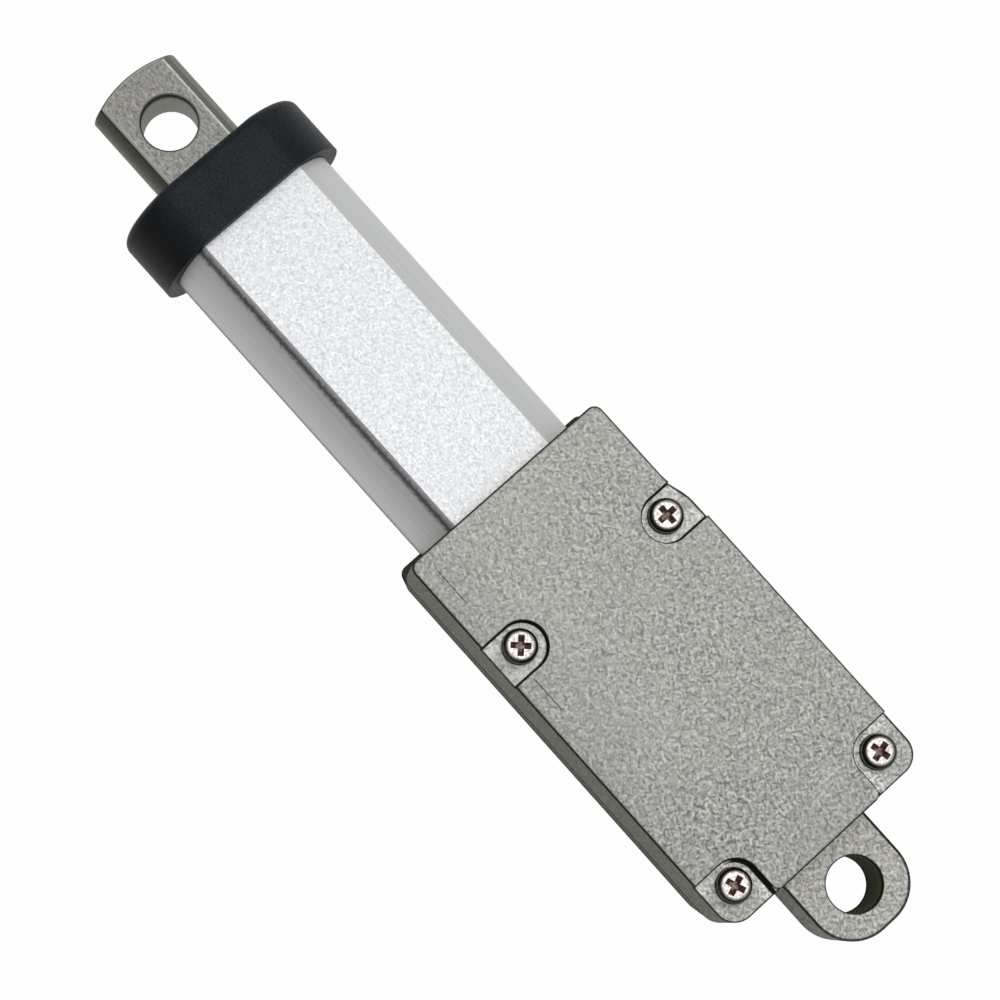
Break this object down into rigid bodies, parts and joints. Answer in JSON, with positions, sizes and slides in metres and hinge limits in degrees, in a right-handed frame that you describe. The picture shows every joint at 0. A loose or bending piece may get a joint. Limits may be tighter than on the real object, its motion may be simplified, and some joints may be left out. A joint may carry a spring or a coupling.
{
  "type": "electric linear actuator",
  "caption": "In-line electric linear actuator: a geared motor in a two-piece casting turns a lead screw that pushes an eye-ended rod out of a flat-sided tube.",
  "frame": {"origin": "centre of the rear eye's bore, at mid thickness of the eye", "axes": "+X along the rod towards its tip, +Z out of the cover along both mounting bores"},
  "size_m": [0.0793, 0.0178, 0.0142],
  "materials": {
    "cast_alloy": "die cast and tumbled, fine worm-like grain",
    "screw_steel": "plated steel",
    "tube_alloy": "satin anodised, fine grain on the flats",
    "seal_rubber": "black rubber",
    "cap_plastic": "black moulded plastic",
    "bronze": "sintered bronze",
    "rod_steel": "ground steel with milled flats",
    "nut_plastic": "white acetal",
    "machined_steel": "machined steel",
    "gear_brass": "hobbed brass",
    "can_steel": "zinc plated drawn steel",
    "bell_plastic": "white nylon",
    "magnet": "sintered ferrite",
    "copper": "copper",
    "lamination": "stacked steel sheet",
    "board": "green circuit board"
  },
  "bodies": {
    "casing": {"gearbox_housing": "cast_alloy", "gearbox_cover": "cast_alloy", "cover_screws": "screw_steel", "outer_tube": "tube_alloy", "tube_gasket": "seal_rubber", "front_cap": "cap_plastic", "rod_bush": "bronze", "rod_wiper": "seal_rubber", "bearing_outer_ring": "machined_steel", "bearing_balls": "machined_steel", "gear_plate_rear": "machined_steel", "gear_plate_front": "machined_steel", "gear_pins": "machined_steel", "motor_can": "can_steel", "motor_end_bell": "bell_plastic", "motor_bushes": "bronze", "motor_magnets": "magnet", "motor_terminals": "gear_brass", "limit_switch_board": "board", "limit_switches": "cap_plastic", "wire_grommet": "seal_rubber"},
    "rod": {"push_rod": "rod_steel", "lead_nut": "nut_plastic"},
    "screw": {"lead_screw": "machined_steel", "screw_clip": "machined_steel", "bearing_inner_ring": "machined_steel", "output_gear": "gear_brass"},
    "idler_a": {"idler_gear_a": "gear_brass"},
    "idler_b": {"idler_gear_b": "gear_brass"},
    "rotor": {"motor_shaft": "machined_steel", "motor_pinion": "gear_brass", "motor_armature": "lamination", "motor_commutator": "copper"}
  },
  "joints": [
    {"name": "rod_slide", "type": "slide", "parent": "casing", "child": "rod", "axis": [1, 0, 0], "range_m": [0, 0.02]},
    {"name": "screw_spin", "type": "hinge", "parent": "casing", "child": "screw", "pos_m": [0.03, 0, 0], "axis": [1, 0, 0], "range_deg": [-3600, 0]},
    {"name": "idler_b_spin", "type": "hinge", "parent": "casing", "child": "idler_b", "pos_m": [0.025, 0.00329, -0.0019], "axis": [1, 0, 0], "range_deg": [0, 10080]},
    {"name": "idler_a_spin", "type": "hinge", "parent": "casing", "child": "idler_a", "pos_m": [0.0235, 0.00329, 0.0019], "axis": [1, 0, 0], "range_deg": [-28224, 0]},
    {"name": "rotor_spin", "type": "hinge", "parent": "casing", "child": "rotor", "pos_m": [0.015, 0, 0], "axis": [1, 0, 0], "range_deg": [0, 79027.2]}
  ],
  "couplings": [
    {"joint": "screw_spin", "follows": "rod_slide", "rad_per_m": -3141.6},
    {"joint": "idler_b_spin", "follows": "rod_slide", "rad_per_m": 8796.5},
    {"joint": "idler_a_spin", "follows": "rod_slide", "rad_per_m": -24630},
    {"joint": "rotor_spin", "follows": "rod_slide", "rad_per_m": 68964}
  ]
}
